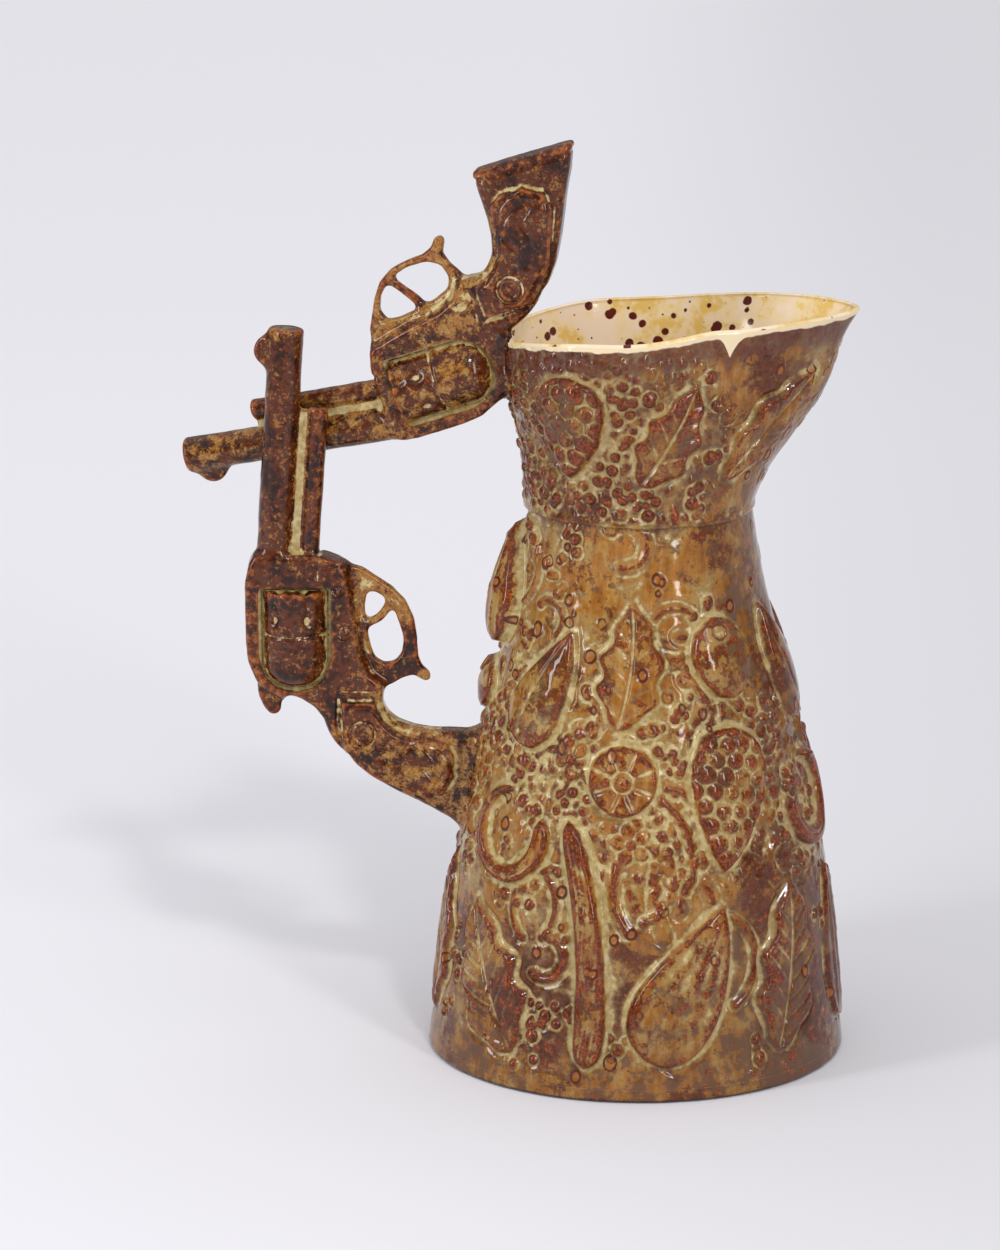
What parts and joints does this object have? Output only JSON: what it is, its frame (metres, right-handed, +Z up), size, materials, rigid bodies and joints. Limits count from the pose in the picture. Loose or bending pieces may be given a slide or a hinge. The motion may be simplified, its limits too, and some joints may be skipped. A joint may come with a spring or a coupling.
{
  "type": "stoneware jug",
  "caption": "Tall glazed stoneware jug with a bell body, a flared pouring collar, press-moulded reliefs and a handle made of cast toy-revolver shapes.",
  "frame": {"origin": "centre of the foot's flat underside", "axes": "+Z up, +X towards the pouring spout, -X towards the handle, -Y towards the front that the picture shows"},
  "size_m": [0.294, 0.1731, 0.4089],
  "materials": {
    "ochre_glaze": "glossy mottled ochre and rust glaze",
    "relief_glaze": "glossy rust glaze, cream where it pools",
    "umber_glaze": "glossy dark red-brown glaze with tan edges",
    "cream_glaze": "glossy cream glaze with maroon spots"
  },
  "bodies": {
    "root": {"foot_slab": "umber_glaze", "body_wall": "ochre_glaze", "pouring_collar": "ochre_glaze", "front_gourd": "relief_glaze", "front_trunk": "relief_glaze", "front_leaf": "relief_glaze", "right_leaf": "relief_glaze", "spout_gourd": "relief_glaze", "handle_leaf": "relief_glaze", "front_grapes": "relief_glaze", "front_rosette": "relief_glaze", "left_scroll": "relief_glaze", "right_scroll": "relief_glaze", "upper_pear": "relief_glaze", "upper_leaf": "relief_glaze", "upper_fruit": "relief_glaze", "spout_pear": "relief_glaze", "handle_gourd": "relief_glaze", "handle_fruit": "relief_glaze", "back_leaf": "relief_glaze", "back_gourd": "relief_glaze", "back_trunk": "relief_glaze", "back_side_leaf": "relief_glaze", "back_scroll": "relief_glaze", "back_grapes": "relief_glaze", "back_side_scroll": "relief_glaze", "back_upper_pear": "relief_glaze", "back_upper_leaf": "relief_glaze", "back_upper_fruit": "relief_glaze", "collar_grapes": "relief_glaze", "collar_leaf": "relief_glaze", "collar_spray": "relief_glaze", "collar_back_leaf": "relief_glaze", "collar_back_grapes": "relief_glaze", "lower_frame": "umber_glaze", "lower_cylinder": "umber_glaze", "lower_barrel": "umber_glaze", "lower_ejector_tube": "umber_glaze", "lower_front_sight": "umber_glaze", "lower_trigger_guard": "umber_glaze", "lower_trigger": "umber_glaze", "lower_hammer": "umber_glaze", "lower_near_grip_panel": "umber_glaze", "lower_near_medallion": "cream_glaze", "lower_far_grip_panel": "umber_glaze", "lower_far_medallion": "cream_glaze", "upper_frame": "umber_glaze", "upper_cylinder": "umber_glaze", "upper_barrel": "umber_glaze", "upper_ejector_tube": "umber_glaze", "upper_front_sight": "umber_glaze", "upper_trigger_guard": "umber_glaze", "upper_trigger": "umber_glaze", "upper_near_grip_panel": "umber_glaze", "upper_near_medallion": "cream_glaze", "upper_far_grip_panel": "umber_glaze", "upper_far_medallion": "cream_glaze"}
  },
  "joints": []
}
